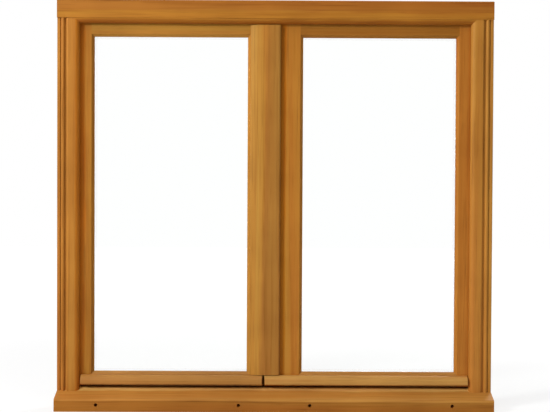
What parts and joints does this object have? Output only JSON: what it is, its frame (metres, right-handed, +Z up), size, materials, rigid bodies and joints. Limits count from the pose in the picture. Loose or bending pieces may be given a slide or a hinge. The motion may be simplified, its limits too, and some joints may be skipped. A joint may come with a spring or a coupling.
{
  "type": "double casement window",
  "caption": "Timber casement window with two glazed leaves that open into the room, drained sill, weather bars, cover strips, barrel hinges and a lever-worked bolt gear.",
  "frame": {"origin": "on the sill's underside, midway along the window, in the plane of the jambs' outer face", "axes": "+X to the right as seen from outside, +Y into the room, +Z up"},
  "size_m": [1.26, 0.1873, 1.183],
  "materials": {
    "timber": "satin stain",
    "glass": "clear",
    "spacer_metal": "mill",
    "seal_rubber": "matt",
    "hinge_steel": "zinc plated",
    "gear_brass": "lacquered"
  },
  "bodies": {
    "frame": {"frame_head": "timber", "frame_jamb_left": "timber", "frame_jamb_right": "timber", "frame_sill": "timber", "upper_keeper": "gear_brass", "lower_keeper": "gear_brass", "hinge_pin_left_lower": "hinge_steel", "hinge_pin_left_middle": "hinge_steel", "hinge_pin_left_upper": "hinge_steel", "hinge_pin_right_lower": "hinge_steel", "hinge_pin_right_middle": "hinge_steel", "hinge_pin_right_upper": "hinge_steel"},
    "left_leaf": {"left_hinge_stile": "timber", "left_meeting_stile": "timber", "left_top_rail": "timber", "left_bottom_rail": "timber", "left_weather_bar": "timber", "left_outer_pane": "glass", "left_inner_pane": "glass", "left_spacer": "spacer_metal", "left_edge_sealant": "seal_rubber", "left_glazing_tape": "seal_rubber", "left_glazing_beads": "timber", "left_setting_blocks": "seal_rubber", "left_lip_seal": "seal_rubber", "hinge_sleeve_left_lower": "hinge_steel", "hinge_sleeve_left_middle": "hinge_steel", "hinge_sleeve_left_upper": "hinge_steel", "outer_cover_strip": "timber", "outer_cover_seal": "seal_rubber"},
    "right_leaf": {"right_hinge_stile": "timber", "right_meeting_stile": "timber", "right_top_rail": "timber", "right_bottom_rail": "timber", "right_weather_bar": "timber", "right_outer_pane": "glass", "right_inner_pane": "glass", "right_spacer": "spacer_metal", "right_edge_sealant": "seal_rubber", "right_glazing_tape": "seal_rubber", "right_glazing_beads": "timber", "right_setting_blocks": "seal_rubber", "right_lip_seal": "seal_rubber", "hinge_sleeve_right_lower": "hinge_steel", "hinge_sleeve_right_middle": "hinge_steel", "hinge_sleeve_right_upper": "hinge_steel", "inner_cover_strip": "timber", "gear_case": "gear_brass", "handle_rose": "gear_brass", "rod_guides": "gear_brass"},
    "handle": {"handle": "gear_brass"},
    "upper_rod": {"upper_rod": "gear_brass"},
    "lower_rod": {"lower_rod": "gear_brass"}
  },
  "joints": [
    {"name": "right_leaf_hinge", "type": "hinge", "parent": "frame", "child": "right_leaf", "pos_m": [0.6, 0.066, 0.6], "axis": [0, 0, -1], "range_deg": [0, 100]},
    {"name": "left_leaf_hinge", "type": "hinge", "parent": "frame", "child": "left_leaf", "pos_m": [-0.6, 0.066, 0.6], "axis": [0, 0, 1], "range_deg": [0, 90.01]},
    {"name": "handle_turn", "type": "hinge", "parent": "right_leaf", "child": "handle", "pos_m": [-0.0175, 0.106, 0.564], "axis": [0, 1, 0], "range_deg": [0, 90]},
    {"name": "upper_rod_slide", "type": "slide", "parent": "right_leaf", "child": "upper_rod", "axis": [0, 0, 1], "range_m": [0, 0.0181]},
    {"name": "lower_rod_slide", "type": "slide", "parent": "right_leaf", "child": "lower_rod", "axis": [0, 0, -1], "range_m": [0, 0.0181]}
  ],
  "couplings": [
    {"joint": "left_leaf_hinge", "follows": "right_leaf_hinge", "ratio": 0.9},
    {"joint": "upper_rod_slide", "follows": "handle_turn", "m_per_rad": 0.011459},
    {"joint": "lower_rod_slide", "follows": "handle_turn", "m_per_rad": 0.011459}
  ]
}
